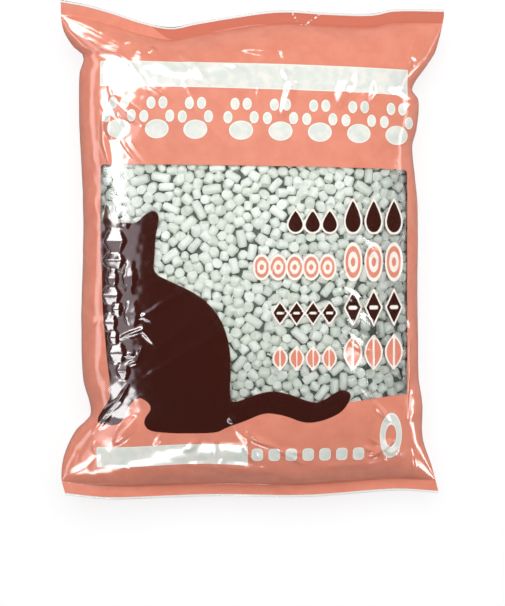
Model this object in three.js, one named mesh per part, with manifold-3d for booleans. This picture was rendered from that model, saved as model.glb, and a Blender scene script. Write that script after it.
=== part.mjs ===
// Cat litter bag: a pillow bag of clear printed film, welded shut at both ends and full of paper
// pellets. It lies on its back, with the printed front up (+Z) and the top end towards +Y.
// The origin is under the middle of the bag, on the surface it lies on. Millimetres.

import * as THREE from 'three';
import { mergeVertices } from 'three/addons/utils/BufferGeometryUtils.js';
import Module from 'manifold-3d';

// The bag.
const cutLength = 450; // from one cut end to the other
const bodyWidth = 303; // across the filled body, fold to fold
const bodyThickness = 98; // from the table to the crown
const foldHeight = 37; // the side folds and the welds above the table
const filmWall = 0.12;
const topSeal = 13; // width of the welded strip at the top
const bottomSeal = 12; // and at the bottom
const foldPress = 9; // film pressed flat on itself along each side fold

// The litter.
const clearance = 0.3; // between the film and the pellets it lies on
const slack = 4; // how far the litter stops short of the film where the bag curves most
const litterSide = 15; // where the heap ends, short of the pressed folds, along the skin
const litterTop = 22; // and short of the top weld
const litterBottom = 16; // and of the bottom weld
const pelletPitch = 9.8; // from pellet to pellet
const pelletCrown = 5.2; // how far a pellet stands out of the heap
const pelletDrop = 0.5; // how far a pellet may lie below its neighbours, either way

// Breathing holes through the front, in a V under the top weld.
const pinhole = 2;
const pinholeStep = 7;
const pinholeRows = 3;
const pinholeDrop = 25; // from the cut end to the nearest holes
const pinholePlace = 0.33; // of the half width, to the right of the middle

// The print, by its distances from the folds and the cut ends.
const windowSide = 17.5;
const windowTopDrop = 152;
const windowBottomRise = 94;
const bandSide = 17.5; // the pale band across the top panel
const bandDrop = 60;
const bandHeight = 23.5;

// How far the side edges stand out past half the body width, by place along the bag, from the
// bottom end (-1) to the top end (1). The empty corners flare to the film's full flat width.
const leftReach = [
  [-1, 17], [-0.93, 21], [-0.83, 18.5], [-0.73, 8.5], [-0.66, -5], [-0.52, 1.5], [-0.31, 3],
  [0, 1.5], [0.2, 1.5], [0.52, 5], [0.71, 5], [0.78, 1.5], [0.82, 11], [0.89, 19.5], [1, 21.3],
];
const rightReach = [
  [-1, 18], [-0.89, 11.5], [-0.76, 2.5], [-0.62, 2], [-0.5, -1.5], [-0.1, -2.5], [0.17, -2.5],
  [0.34, -6], [0.42, -7], [0.49, -3], [0.6, -1.5], [0.65, -7], [0.76, 7], [0.82, 14],
  [0.97, 21.3], [1, 21.3],
];
// How far the cut ends dip towards the middle, from the left fold (-1) to the right fold (1).
const topDip = [
  [-1, 0], [-0.86, 4.5], [-0.72, 11], [-0.59, 18], [-0.43, 23], [-0.3, 18.5], [-0.11, 13],
  [0.14, 8], [0.4, 10], [0.63, 10.5], [0.74, 7], [1, 8],
];
const bottomDip = [[-1, 4], [-0.75, 0], [-0.2, 1.5], [0.3, 1.5], [0.77, 6], [1, 4]];
// How far each empty corner is lifted off the level of the folds.
const cornerLift = { topLeft: 14, topRight: 5, bottomLeft: 10, bottomRight: -6 };

// Creases that stand proud of the filled front. Each runs from one place to another, in shares of
// the half width and half length, and has a height and a half width in millimetres.
const creases = [
  [-0.47, 0.84, -0.13, 0.78, 3, 8],
  [-0.44, 0.77, -0.22, 0.63, 3.2, 8],
  [-0.37, 0.63, -0.13, 0.38, 2.6, 8],
  [-0.72, 0.76, -0.59, 0.61, 3.2, 9],
  [-0.63, 0.58, -0.53, 0.43, 2.2, 8],
  [0.18, 0.78, 0.22, 0.52, 2.4, 8],
  [0.53, 0.68, 0.5, 0.54, 3, 7],
  [0.59, 0.55, 0.71, 0.65, 3, 7],
  [0.78, 0.82, 0.87, 0.71, 2.6, 7],
  [-0.81, 0.16, -0.8, -0.12, 3.4, 10],
  [-0.8, -0.12, -0.81, -0.43, 3.4, 10],
  [-0.81, -0.43, -0.75, -0.57, 3.4, 9],
  [-0.79, 0.03, -0.69, 0.06, 2.2, 7],
  [-0.79, -0.04, -0.7, -0.05, 2.2, 7],
  [-0.81, -0.36, -0.62, -0.28, 3, 8],
  [-0.8, -0.39, -0.59, -0.35, 2.6, 7],
  [-0.81, -0.44, -0.65, -0.45, 3, 8],
  [-0.78, -0.52, -0.65, -0.46, 2.6, 8],
  [-0.92, -0.75, -0.77, -0.58, 3, 8],
  [-0.67, -0.64, -0.81, -0.76, 2.8, 8],
  [-0.12, -0.65, -0.04, -0.75, 2.4, 7],
  [-0.04, -0.75, 0.01, -0.83, 2.4, 7],
  [-0.04, -0.69, 0.16, -0.78, 2.6, 7],
  [0.16, -0.78, 0.3, -0.84, 2.6, 7],
  [0.71, -0.85, 0.85, -0.74, 3, 7],
  [0.74, -0.76, 0.83, -0.84, 2.6, 7],
  [0.9, -0.31, 0.9, -0.67, 2.6, 8],
];

// A sitting cat seen from behind, with its tail out to the right, measured from the window's
// bottom left corner.
const cat = [
  [5, 174], [12.5, 153.5], [20, 155.5], [32, 154], [40, 162.5], [48, 166], [52, 162], [52, 155],
  [49, 142], [48.5, 125], [47, 111], [61, 104], [79, 96], [91, 88.5], [102, 77.5], [109, 65],
  [113.5, 50], [115.5, 30], [114, 4], [116.5, -3.5], [136, 4.5], [148, 7.5], [158, 7], [169, 4],
  [185, -2.5], [194, -2.5], [207, 6.5], [213, 8.5], [219, 6.5], [221, 2], [214, -10.5],
  [203, -16.5], [192, -20], [183, -21], [175, -19.5], [166, -15.5], [154, -12.5], [143, -12],
  [128, -19], [111, -25], [103, -30], [79, -30.5], [61, -30.5], [43, -29], [38, -23], [39, -17],
  [45, -9.5], [43, -3.5], [33, 2.5], [21, -11.5], [20, -18.5], [14, -25], [-3, -24], [-5, -20],
  [1, -10], [10, 3], [6, 26], [3, 62], [1, 86], [1, 111], [0, 131], [0, 149], [3, 165],
];

// Shape of the filled body.
const sectionPower = 2.35; // roundness of the cross section, 2 for an ellipse
const bottomFullness = 3.4; // how far the bottom end stays full before it tapers to the weld
const topFullness = 2.7;
const endRoundness = 1.7;
const underFlat = 1.35; // how much of the underside lies flat
const settle = 1.5; // how smoothly the flat underside turns up
const creaseFade = 2; // how soon the creases die out towards the folds and the welds
const endFade = 0.6; // where along the half length the dips of the ends begin
const cornerStart = [0.45, 0.74]; // where a corner's lift begins, across and along
const endWave = 2.2; // ripple of the welded ends
const endWaves = 7;

// Spacing of the facets.
const frontFacet = 13;
const creaseFacet = 12;
const printFacet = 12;
const backFacet = 24;
const edgeFacet = 16;
const ringFacet = 15;
const closest = 0.5; // nearest two points may come, as a share of the facet
const edgeMargin = 5; // of the points from the folds and the welds
const unevenness = 0.3; // of the points and of the pellets, as a share of their pitch

const halfWidth = bodyWidth / 2;
const halfLength = cutLength / 2;
const topWeld = 1 - topSeal / halfLength;
const bottomWeld = -1 + bottomSeal / halfLength;
const bulge = 1.1; // length of the skin from the middle to a fold, over half the width
const skinHalfWidth = halfWidth * bulge;
const foldLine = 1 - foldPress / skinHalfWidth;
const step = 1e-3; // of the skin's places, to find its slope

// Reads a smooth curve through [place, value] points.
function along(points, place) {
  const last = points.length - 1;
  const x = THREE.MathUtils.clamp(place, points[0][0], points[last][0]);
  let i = 0;
  while (i < last - 1 && x > points[i + 1][0]) i += 1;
  const slope = (k) => {
    const before = points[Math.max(k - 1, 0)];
    const after = points[Math.min(k + 1, last)];
    return (after[1] - before[1]) / (after[0] - before[0]);
  };
  const [x0, y0] = points[i];
  const [x1, y1] = points[i + 1];
  const span = x1 - x0;
  const t = (x - x0) / span;
  const rise = t * t * (3 - 2 * t);
  const leave = (t * t * t - 2 * t * t + t) * span * slope(i);
  const arrive = (t * t * t - t * t) * span * slope(i + 1);
  return y0 + (y1 - y0) * rise + leave + arrive;
}

// The two side edges at a place along the bag.
function sides(v) {
  return [-halfWidth - along(leftReach, v), halfWidth + along(rightReach, v)];
}

// How far a point near an end is drawn towards the middle by the dip of that end.
function endDip(u, v) {
  const near = THREE.MathUtils.smoothstep(Math.abs(v), endFade, 1);
  return v > 0 ? -along(topDip, u) * near : along(bottomDip, u) * near;
}

// How full the bag is, 1 at the middle and 0 at the folds and the welds.
function fullness(u, v) {
  const weld = v > 0 ? topWeld : bottomWeld;
  const share = Math.min(v / weld, 1);
  const power = v > 0 ? topFullness : bottomFullness;
  const lengthwise = (1 - share ** power) ** (1 / endRoundness);
  const across = (1 - Math.min(Math.abs(u), 1) ** sectionPower) ** (1 / sectionPower);
  return lengthwise * across;
}

// Height of the surface that the folds and welds lie in.
function foldLevel(u, v) {
  const end = THREE.MathUtils.smoothstep(Math.abs(v), endFade, 1);
  const corner = THREE.MathUtils.smoothstep(Math.abs(u), cornerStart[0], 1)
    * THREE.MathUtils.smoothstep(Math.abs(v), cornerStart[1], 1);
  const top = u < 0 ? cornerLift.topLeft : cornerLift.topRight;
  const bottom = u < 0 ? cornerLift.bottomLeft : cornerLift.bottomRight;
  const ripple = endWave * Math.sin(u * endWaves) * end;
  return foldHeight + corner * (v > 0 ? top : bottom) + ripple;
}

// Distance from a point to a straight line between two others.
function distanceTo(x, y, x0, y0, x1, y1) {
  const dx = x1 - x0;
  const dy = y1 - y0;
  const t = THREE.MathUtils.clamp(((x - x0) * dx + (y - y0) * dy) / (dx * dx + dy * dy), 0, 1);
  return Math.hypot(x - x0 - t * dx, y - y0 - t * dy);
}

const ridges = creases.map(([x0, y0, x1, y1, height, spread]) => [
  x0 * halfWidth, y0 * halfLength, x1 * halfWidth, y1 * halfLength, height, spread,
]);

// How far the loose film stands off the litter at a point seen from above.
function crumple(x, y) {
  const rises = ridges.map(([x0, y0, x1, y1, height, spread]) => (
    height * Math.max(0, 1 - distanceTo(x, y, x0, y0, x1, y1) / spread)
  ));
  return Math.max(...rises);
}

// A point of the bag. The skin is measured across by a (-1 at the left fold, 1 at the right) and
// along by v. side is 1 on the front, -1 on the back and 0 between them.
function skin([a, v], side, creased = true) {
  const u = Math.sin((a * Math.PI) / 2);
  const [left, right] = sides(v);
  const x = left + ((right - left) * (u + 1)) / 2;
  const y = v * halfLength + endDip(u, v);
  const level = foldLevel(u, v);
  const full = fullness(u, v);
  if (side === 0) return new THREE.Vector3(x, y, level);
  if (side > 0) {
    const rise = (bodyThickness - foldHeight) * full;
    const loose = creased ? crumple(x, y) * Math.min(full * creaseFade, 1) : 0;
    return new THREE.Vector3(x, y, level + filmWall + rise + loose);
  }
  const settled = 1 - (1 - Math.min(full * underFlat, 1)) ** settle;
  return new THREE.Vector3(x, y, (level - filmWall) * (1 - settled));
}

// A point that lies the given depth under the skin, square to it.
function under(spot, side, depth, creased) {
  const [a, v] = spot;
  const reachA = Math.min(step, 1 - Math.abs(a));
  const acrossSkin = skin([a + reachA, v], side, creased).sub(skin([a - reachA, v], side, creased));
  const alongSkin = skin([a, v + step], side, creased).sub(skin([a, v - step], side, creased));
  const outward = acrossSkin.cross(alongSkin).normalize().multiplyScalar(side);
  return skin(spot, side, creased).addScaledVector(outward, -depth);
}

// The place on the skin of a point seen from above.
function onSkin([x, y]) {
  let v = y / halfLength;
  let u = 0;
  for (let pass = 0; pass < 4; pass += 1) {
    const [left, right] = sides(v);
    u = THREE.MathUtils.clamp(((x - left) / (right - left)) * 2 - 1, -1, 1);
    v = (y - endDip(u, v)) / halfLength;
  }
  return [(Math.asin(u) * 2) / Math.PI, v];
}

// Places on the skin are laid out flat, in millimetres, to join them into facets.
const flat = ([a, v]) => [a * skinHalfWidth, v * halfLength];

function circumcircle(spots, corners) {
  const [[ax, ay], [bx, by], [cx, cy]] = corners.map((c) => spots[c]);
  const d = 2 * ((bx - ax) * (cy - ay) - (by - ay) * (cx - ax));
  const b2 = (bx - ax) ** 2 + (by - ay) ** 2;
  const c2 = (cx - ax) ** 2 + (cy - ay) ** 2;
  const ux = ((cy - ay) * b2 - (by - ay) * c2) / d;
  const uy = ((bx - ax) * c2 - (cx - ax) * b2) / d;
  return { corners, x: ax + ux, y: ay + uy, r2: ux * ux + uy * uy };
}

// Joins scattered points into triangles, so that none has another point inside its circumcircle.
function facets(places) {
  const count = places.length;
  const far = 1e5;
  const spots = [...places.map(flat), [-far, -far], [far, -far], [0, far]];
  let found = [circumcircle(spots, [count, count + 1, count + 2])];
  for (let i = 0; i < count; i += 1) {
    const [x, y] = spots[i];
    const open = new Map();
    found = found.filter((facet) => {
      if ((x - facet.x) ** 2 + (y - facet.y) ** 2 >= facet.r2) return true;
      facet.corners.forEach((from, k) => {
        const to = facet.corners[(k + 1) % 3];
        if (!open.delete(`${to},${from}`)) open.set(`${from},${to}`, [from, to]);
      });
      return false;
    });
    open.forEach(([from, to]) => found.push(circumcircle(spots, [from, to, i])));
  }
  return found.map((facet) => facet.corners).filter((corners) => corners.every((c) => c < count));
}

// The same small shift for the same point each time, between -0.5 and 0.5.
function jitter(i, j) {
  const wave = Math.sin(i * 127.1 + j * 311.7) * 43758.5453;
  return wave - Math.floor(wave) - 0.5;
}

// Points along a closed loop of corners, the given step apart at most.
function loop(corners, pitch) {
  return corners.flatMap(([x0, y0], i) => {
    const [x1, y1] = corners[(i + 1) % corners.length];
    const count = Math.max(1, Math.round(Math.hypot(x1 - x0, y1 - y0) / pitch));
    return Array.from({ length: count }, (_, k) => [
      x0 + ((x1 - x0) * k) / count,
      y0 + ((y1 - y0) * k) / count,
    ]);
  });
}

// A rectangle on the skin, as evenly spaced places.
function skinRectangle(a, bottom, top, pitch) {
  const [x, yTop] = flat([a, top]);
  const yBottom = flat([a, bottom])[1];
  const corners = [[-x, yBottom], [x, yBottom], [x, yTop], [-x, yTop]];
  return loop(corners, pitch).map(([s, t]) => [s / skinHalfWidth, t / halfLength]);
}

// Adds the places that keep clear of those already there.
function addClear(places, more, gap) {
  more.forEach((place) => {
    const [x, y] = flat(place);
    const clear = places.every((other) => {
      const [ox, oy] = flat(other);
      return Math.hypot(ox - x, oy - y) > gap;
    });
    if (clear) places.push(place);
  });
  return places;
}

const rowPitch = Math.sqrt(3) / 2; // from row to row of a staggered lattice, over its pitch

// A staggered, slightly uneven lattice of places inside the fold lines and the welds.
function lattice(pitch, reach, bottom, top) {
  const places = [];
  const rows = Math.round(((top - bottom) * halfLength) / (pitch * rowPitch));
  const columns = Math.round((2 * reach * skinHalfWidth) / pitch);
  for (let j = 1; j < rows; j += 1) {
    for (let i = 1; i < columns; i += 1) {
      const across = i + (j % 2) * 0.5 - 0.25 + jitter(i, j) * unevenness;
      const up = j + jitter(j, i) * unevenness;
      places.push([reach * ((2 * across) / columns - 1), bottom + ((top - bottom) * up) / rows]);
    }
  }
  return places;
}

// A closed body from a front and a back that share their first places.
class Body {
  constructor() {
    this.vertices = [];
    this.faces = [];
  }

  add(points) {
    const start = this.vertices.length;
    points.forEach((p) => this.vertices.push(p));
    return points.map((_, i) => start + i);
  }

  cover(triangles, index, flip) {
    triangles.forEach(([p, q, r]) => {
      const face = [index[p], index[q], index[r]];
      this.faces.push(flip ? face.reverse() : face);
    });
  }

  geometry() {
    const geometry = new THREE.BufferGeometry().setFromPoints(this.vertices);
    geometry.setIndex(this.faces.flat());
    return geometry;
  }
}

const wasm = await Module();
wasm.setup();

function toSolid(geometry) {
  const bare = geometry.clone();
  bare.deleteAttribute('normal');
  bare.deleteAttribute('uv');
  const merged = mergeVertices(bare, 1e-5);
  return new wasm.Manifold(new wasm.Mesh({
    numProp: 3,
    vertProperties: new Float32Array(merged.attributes.position.array),
    triVerts: new Uint32Array(merged.index.array),
  }));
}

function fromSolid(solid) {
  const { vertProperties, triVerts } = solid.getMesh();
  const geometry = new THREE.BufferGeometry();
  geometry.setAttribute('position', new THREE.BufferAttribute(vertProperties, 3));
  geometry.setIndex(new THREE.BufferAttribute(triVerts, 1));
  return geometry;
}

// The fields of the print, seen from above.
const rectangle = (reach, bottom, top) => [
  [-reach, bottom], [reach, bottom], [reach, top], [-reach, top],
];
const windowReach = halfWidth - windowSide;
const windowTop = halfLength - windowTopDrop;
const windowBottom = -halfLength + windowBottomRise;
const bandTop = halfLength - bandDrop;
const windowCorners = rectangle(windowReach, windowBottom, windowTop);
const bandCorners = rectangle(halfWidth - bandSide, bandTop - bandHeight, bandTop);
const catOutline = cat.map(([x, y]) => [x - windowReach, y + windowBottom]);

function inside(x, y, corners) {
  return corners.reduce((within, [x0, y0], i) => {
    const [x1, y1] = corners[(i + 1) % corners.length];
    const crosses = (y0 > y) !== (y1 > y) && x < x0 + ((x1 - x0) * (y - y0)) / (y1 - y0);
    return crosses ? !within : within;
  }, false);
}

// Tells the places that keep the given distance from the sides and ends of a stretch of skin.
const between = (reach, bottom, top) => ([a, v]) => (
  (reach - Math.abs(a)) * skinHalfWidth > edgeMargin
  && (v - bottom) * halfLength > edgeMargin
  && (top - v) * halfLength > edgeMargin
);

// Points along the crest of each crease and down both its sides.
function creasePoints([x0, y0, x1, y1, , spread]) {
  const length = Math.hypot(x1 - x0, y1 - y0);
  const across = [(-(y1 - y0) * spread) / length, ((x1 - x0) * spread) / length];
  const count = Math.max(1, Math.round(length / creaseFacet));
  return Array.from({ length: count + 1 }, (_, k) => k / count).flatMap((t) => {
    const x = x0 + (x1 - x0) * t;
    const y = y0 + (y1 - y0) * t;
    return [0, 1, -1].map((side) => [x + across[0] * side, y + across[1] * side]);
  });
}

// The places on the front that its creases and its print need, with a lattice between them.
function frontPlaces(shared) {
  const marked = [
    ...ridges.flatMap(creasePoints),
    ...loop(catOutline, printFacet),
    ...loop(windowCorners, printFacet),
    ...loop(bandCorners, printFacet),
  ];
  const within = marked.map(onSkin).filter(between(foldLine, bottomWeld, topWeld));
  const places = addClear([...shared], within, printFacet * closest);
  return addClear(places, lattice(frontFacet, foldLine, bottomWeld, topWeld), frontFacet * closest);
}

// The points of the back, which the film and the litter on it share.
const backPlaces = () => lattice(backFacet, foldLine, bottomWeld, topWeld);

// The film: a shell of one wall all round, with its front and back welded together at both ends
// and pressed flat on each other along the side folds.
function filmShell() {
  const rim = skinRectangle(1, -1, 1, edgeFacet);
  const ring = skinRectangle(foldLine, bottomWeld, topWeld, ringFacet);
  const shared = [...rim, ...ring];
  const body = new Body();
  const layers = [
    { side: 1, places: frontPlaces(shared) },
    { side: -1, places: addClear([...shared], backPlaces(), backFacet * closest) },
  ];
  const hollowRing = body.add(ring.map((place) => skin(place, 0)));
  const edges = layers.map(({ side, places }) => {
    const triangles = facets(places);
    const outer = body.add(places.map((place) => skin(place, side)));
    body.cover(triangles, outer, side < 0);
    const free = places.slice(shared.length);
    const inner = body.add(free.map((place) => under(place, side, filmWall, true)));
    const hollow = [...rim.map(() => -1), ...hollowRing, ...inner];
    const lining = triangles.filter((corners) => corners.every((c) => c >= rim.length));
    body.cover(lining, hollow, side > 0);
    return outer;
  });
  rim.forEach((_, i) => {
    const next = (i + 1) % rim.length;
    const [front, back] = edges;
    body.faces.push([back[i], back[next], front[next]], [back[i], front[next], front[i]]);
  });
  return toSolid(body.geometry());
}

// The holes, as pins to cut them with.
function pins() {
  const middle = pinholePlace * halfWidth;
  const top = halfLength - along(topDip, pinholePlace) - pinholeDrop;
  return Array.from({ length: pinholeRows }, (_, row) => row).flatMap((row) => {
    const reach = ((pinholeRows - 1 - row) * pinholeStep) / 2;
    return [...new Set([-reach, reach])].map((x) => [middle + x, top - row * pinholeStep]);
  }).map(([x, y]) => {
    const { z } = skin(onSkin([x, y]), 1);
    const pin = new THREE.CylinderGeometry(pinhole / 2, pinhole / 2, pinhole * 2, 8);
    pin.rotateX(Math.PI / 2).translate(x, y, z);
    return toSolid(pin);
  });
}

// Colours of the print, seen from above: the front's panels, band, window and cat.
const coral = [0.86, 0.33, 0.21, 1];
const pale = [0.67, 0.72, 0.66, 0.9];
const brown = [0.05, 0.012, 0.007, 1];
const clearFilm = [0.9, 0.92, 0.9, 0.15];

function inkAt(x, y) {
  if (inside(x, y, catOutline)) return brown;
  if (inside(x, y, windowCorners)) return clearFilm;
  if (inside(x, y, bandCorners)) return pale;
  return coral;
}

function printed(geometry) {
  const loose = geometry.toNonIndexed();
  loose.computeVertexNormals();
  const { position, normal } = loose.attributes;
  const colours = [];
  for (let i = 0; i < position.count; i += 3) {
    const x = (position.getX(i) + position.getX(i + 1) + position.getX(i + 2)) / 3;
    const y = (position.getY(i) + position.getY(i + 1) + position.getY(i + 2)) / 3;
    const above = position.getZ(i) > foldHeight || normal.getZ(i) > 0.5;
    const ink = above ? inkAt(x, y) : coral;
    colours.push(...ink, ...ink, ...ink);
  }
  loose.setAttribute('color', new THREE.Float32BufferAttribute(colours, 4));
  return loose;
}

function filmBag() {
  let shell = filmShell();
  pins().forEach((pin) => {
    shell = shell.subtract(pin);
  });
  const material = new THREE.MeshStandardMaterial({
    vertexColors: true, transparent: true, roughness: 0.25, metalness: 0,
  });
  const mesh = new THREE.Mesh(printed(fromSolid(shell)), material);
  mesh.name = 'film_bag';
  return mesh;
}

// The pellets under the clear window: the middle of each, and the low points between them.
function windowPellets() {
  const columns = Math.floor((2 * windowReach) / pelletPitch);
  const rowStep = pelletPitch * rowPitch;
  const rows = Math.floor((windowTop - windowBottom) / rowStep);
  const middle = (i, j) => [
    (i + 0.5 + (j % 2) * 0.5 + jitter(i, j) * unevenness) * pelletPitch - windowReach,
    (j + 0.5 + jitter(j + rows, i) * unevenness) * rowStep + windowBottom,
  ];
  const centroid = (...points) => [0, 1].map((k) => points.reduce((sum, p) => sum + p[k], 0) / 3);
  const crowns = [];
  const gaps = [];
  for (let j = 0; j < rows; j += 1) {
    for (let i = 0; i < columns; i += 1) {
      const here = middle(i, j);
      const upRight = middle(i + (j % 2), j + 1);
      if (inside(...here, catOutline)) continue;
      crowns.push(here);
      gaps.push(centroid(here, middle(i - 1 + (j % 2), j + 1), upRight));
      gaps.push(centroid(here, middle(i + 1, j), upRight));
    }
  }
  return { crowns: crowns.map(onSkin), gaps: gaps.map(onSkin) };
}

// The heap of pellets: one body that fills the bag, with a dome for each pellet under the window.
function litterPellets() {
  const reach = foldLine - litterSide / skinHalfWidth;
  const bottom = bottomWeld + litterBottom / halfLength;
  const top = topWeld - litterTop / halfLength;
  const { crowns, gaps } = windowPellets();
  const relief = new Map();
  crowns.forEach((place, i) => relief.set(place, pelletDrop * (1 + 2 * jitter(i, 0))));
  gaps.forEach((place) => relief.set(place, pelletCrown));
  const depth = (place) => {
    const [a, v] = place;
    return filmWall + clearance + slack * (a ** 4 + v ** 4) + (relief.get(place) ?? 0);
  };
  const rim = skinRectangle(reach, bottom, top, edgeFacet);
  const front = [...rim];
  addClear(front, crowns, pelletPitch / 3);
  addClear(front, gaps, pelletPitch / 4);
  addClear(front, lattice(frontFacet, reach, bottom, top), pelletPitch);
  const back = addClear([...rim], backPlaces().filter(between(reach, bottom, top)), backFacet / 3);
  const body = new Body();
  const edge = body.add(rim.map((place) => skin(place, 0)));
  [[1, front], [-1, back]].forEach(([side, places]) => {
    const points = places.slice(rim.length).map((place) => under(place, side, depth(place), false));
    body.cover(facets(places), [...edge, ...body.add(points)], side < 0);
  });
  const material = new THREE.MeshStandardMaterial({ color: 0xdde5dc, roughness: 0.9, metalness: 0 });
  const mesh = new THREE.Mesh(fromSolid(toSolid(body.geometry())), material);
  mesh.name = 'litter_pellets';
  return mesh;
}

const group = new THREE.Group();
group.add(filmBag(), litterPellets());
const box = new THREE.Box3().setFromObject(group);
const middle = box.getCenter(new THREE.Vector3());
group.position.set(-middle.x, -middle.y, -box.min.z);
group.updateMatrixWorld(true);

export default group;
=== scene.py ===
# %% [markdown]
# # A bag of cat litter
# The real bag is a tube of clear plastic film, printed on the inside and welded shut at both ends,
# with about eight litres of pressed paper pellets in it. It lies on its back, and the camera looks
# straight down on it. The lesson builds the film as one fine mesh, gives it creases, prints it with
# fields of colour, and fills the clear window with loose pellets.

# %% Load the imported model
import math

import bpy
import numpy as np
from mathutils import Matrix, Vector
from mathutils.geometry import delaunay_2d_cdt


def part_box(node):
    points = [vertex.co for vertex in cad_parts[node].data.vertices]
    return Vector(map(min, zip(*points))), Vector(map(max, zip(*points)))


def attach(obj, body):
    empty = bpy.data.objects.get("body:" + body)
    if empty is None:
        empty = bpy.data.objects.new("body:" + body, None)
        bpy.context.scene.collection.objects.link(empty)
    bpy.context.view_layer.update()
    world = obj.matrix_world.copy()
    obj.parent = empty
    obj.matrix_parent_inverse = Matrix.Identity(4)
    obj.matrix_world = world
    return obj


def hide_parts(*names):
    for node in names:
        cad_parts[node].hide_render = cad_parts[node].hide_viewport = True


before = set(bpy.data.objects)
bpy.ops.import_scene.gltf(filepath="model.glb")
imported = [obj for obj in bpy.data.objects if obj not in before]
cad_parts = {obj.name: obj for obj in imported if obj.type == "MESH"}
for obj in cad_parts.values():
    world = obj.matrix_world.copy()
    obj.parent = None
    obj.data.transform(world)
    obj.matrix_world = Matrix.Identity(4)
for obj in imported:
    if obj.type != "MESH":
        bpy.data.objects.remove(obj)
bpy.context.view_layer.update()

MM = 0.001
BAG_LOW, BAG_HIGH = (np.array(corner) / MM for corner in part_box("film_bag"))
print("bag box in mm", BAG_LOW.round(1), BAG_HIGH.round(1))

# %% [markdown]
# ## Two small helpers
# Colours are written as sRGB hex values, as a painter would pick them, and Blender wants linear
# numbers. Every material is a node tree, so one helper adds a node with its settings and links.

# %% Colour and node helpers


def linear(hex_colour, alpha=1.0):
    """An sRGB hex colour as linear RGBA."""
    channels = [int(hex_colour[i:i + 2], 16) / 255 for i in (1, 3, 5)]
    turned = [c / 12.92 if c <= 0.04045 else ((c + 0.055) / 1.055) ** 2.4 for c in channels]
    return (*turned, alpha)


def add_node(tree, kind, settings=None, inputs=None):
    """Adds a node. An input's value is a plain value, or an output socket to link from."""
    node = tree.nodes.new(kind)
    for name, value in (settings or {}).items():
        setattr(node, name, value)
    for name, value in (inputs or {}).items():
        if isinstance(value, bpy.types.NodeSocket):
            tree.links.new(value, node.inputs[name])
        else:
            node.inputs[name].default_value = value
    return node


def new_material(name):
    """An empty node material with its output node."""
    material = bpy.data.materials.new(name)
    material.use_nodes = True
    material.node_tree.nodes.clear()
    output = add_node(material.node_tree, "ShaderNodeOutputMaterial")
    return material, material.node_tree, output


# %% [markdown]
# ## Sizes of the bag
# These are real sizes in millimetres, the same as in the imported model. A few more numbers say how
# full the bag is towards its ends and sides, and how far its edges wander.

# %% Sizes and the outline of the bag
CUT_LENGTH = 450.0
BODY_WIDTH = 303.0
BODY_THICKNESS = 98.0
FOLD_HEIGHT = 37.0
FILM_WALL = 0.12
TOP_SEAL, BOTTOM_SEAL = 13.0, 12.0
HALF_LENGTH, HALF_WIDTH = CUT_LENGTH / 2, BODY_WIDTH / 2
TOP_WELD, BOTTOM_WELD = 1 - TOP_SEAL / HALF_LENGTH, -1 + BOTTOM_SEAL / HALF_LENGTH
TOP_FULLNESS, BOTTOM_FULLNESS, END_ROUNDNESS = 2.7, 3.4, 1.7
SECTION_POWER = 2.35
UNDER_FLAT, SETTLE = 1.35, 1.5
END_WAVE, END_WAVES = 2.2, 7
CORNER_LIFT = {"top left": 14, "top right": 5, "bottom left": 10, "bottom right": -6}

LEFT_REACH = [(-1, 17), (-0.93, 21), (-0.83, 18.5), (-0.73, 8.5), (-0.66, -5), (-0.52, 1.5),
              (-0.31, 3), (0, 1.5), (0.2, 1.5), (0.52, 5), (0.71, 5), (0.78, 1.5), (0.82, 11),
              (0.89, 19.5), (1, 21.3)]
RIGHT_REACH = [(-1, 18), (-0.89, 11.5), (-0.76, 2.5), (-0.62, 2), (-0.5, -1.5), (-0.1, -2.5),
               (0.17, -2.5), (0.34, -6), (0.42, -7), (0.49, -3), (0.6, -1.5), (0.65, -7),
               (0.76, 7), (0.82, 14), (0.97, 21.3), (1, 21.3)]
TOP_DIP = [(-1, 0), (-0.86, 4.5), (-0.72, 11), (-0.59, 18), (-0.43, 23), (-0.3, 18.5),
           (-0.11, 13), (0.14, 8), (0.4, 10), (0.63, 10.5), (0.74, 7), (1, 8)]
BOTTOM_DIP = [(-1, 4), (-0.75, 0), (-0.2, 1.5), (0.3, 1.5), (0.77, 6), (1, 4)]


def along(points, place):
    """Reads a smooth curve through (place, value) points, at an array of places."""
    xs, ys = np.array(points, float).T
    slopes = np.array([(ys[min(k + 1, len(xs) - 1)] - ys[max(k - 1, 0)])
                       / (xs[min(k + 1, len(xs) - 1)] - xs[max(k - 1, 0)]) for k in range(len(xs))])
    x = np.clip(place, xs[0], xs[-1])
    i = np.clip(np.searchsorted(xs, x) - 1, 0, len(xs) - 2)
    span = xs[i + 1] - xs[i]
    t = (x - xs[i]) / span
    rise = t * t * (3 - 2 * t)
    leave = (t ** 3 - 2 * t ** 2 + t) * span * slopes[i]
    arrive = (t ** 3 - t ** 2) * span * slopes[i + 1]
    return ys[i] + (ys[i + 1] - ys[i]) * rise + leave + arrive


def smoothstep(x, low, high):
    """A smooth rise from 0 at low to 1 at high."""
    t = np.clip((x - low) / (high - low), 0, 1)
    return t * t * (3 - 2 * t)


# %% [markdown]
# ## The filled shape
# A full pillow bag is round across, flat underneath, and tapers to the welds. A formula gives it
# better than a sculpt, because every later step (creases, print, pellets) can ask it for the place
# of any point of the skin. a runs across the skin from fold to fold and v along it, both -1 to 1.

# %% The shape of the full bag


def sides(v):
    """The side edges at a place along the bag."""
    return -HALF_WIDTH - along(LEFT_REACH, v), HALF_WIDTH + along(RIGHT_REACH, v)


def end_dip(u, v):
    """How far the dips of the cut ends draw a point towards the middle."""
    near = smoothstep(np.abs(v), 0.6, 1)
    return np.where(v > 0, -along(TOP_DIP, u), along(BOTTOM_DIP, u)) * near


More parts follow.
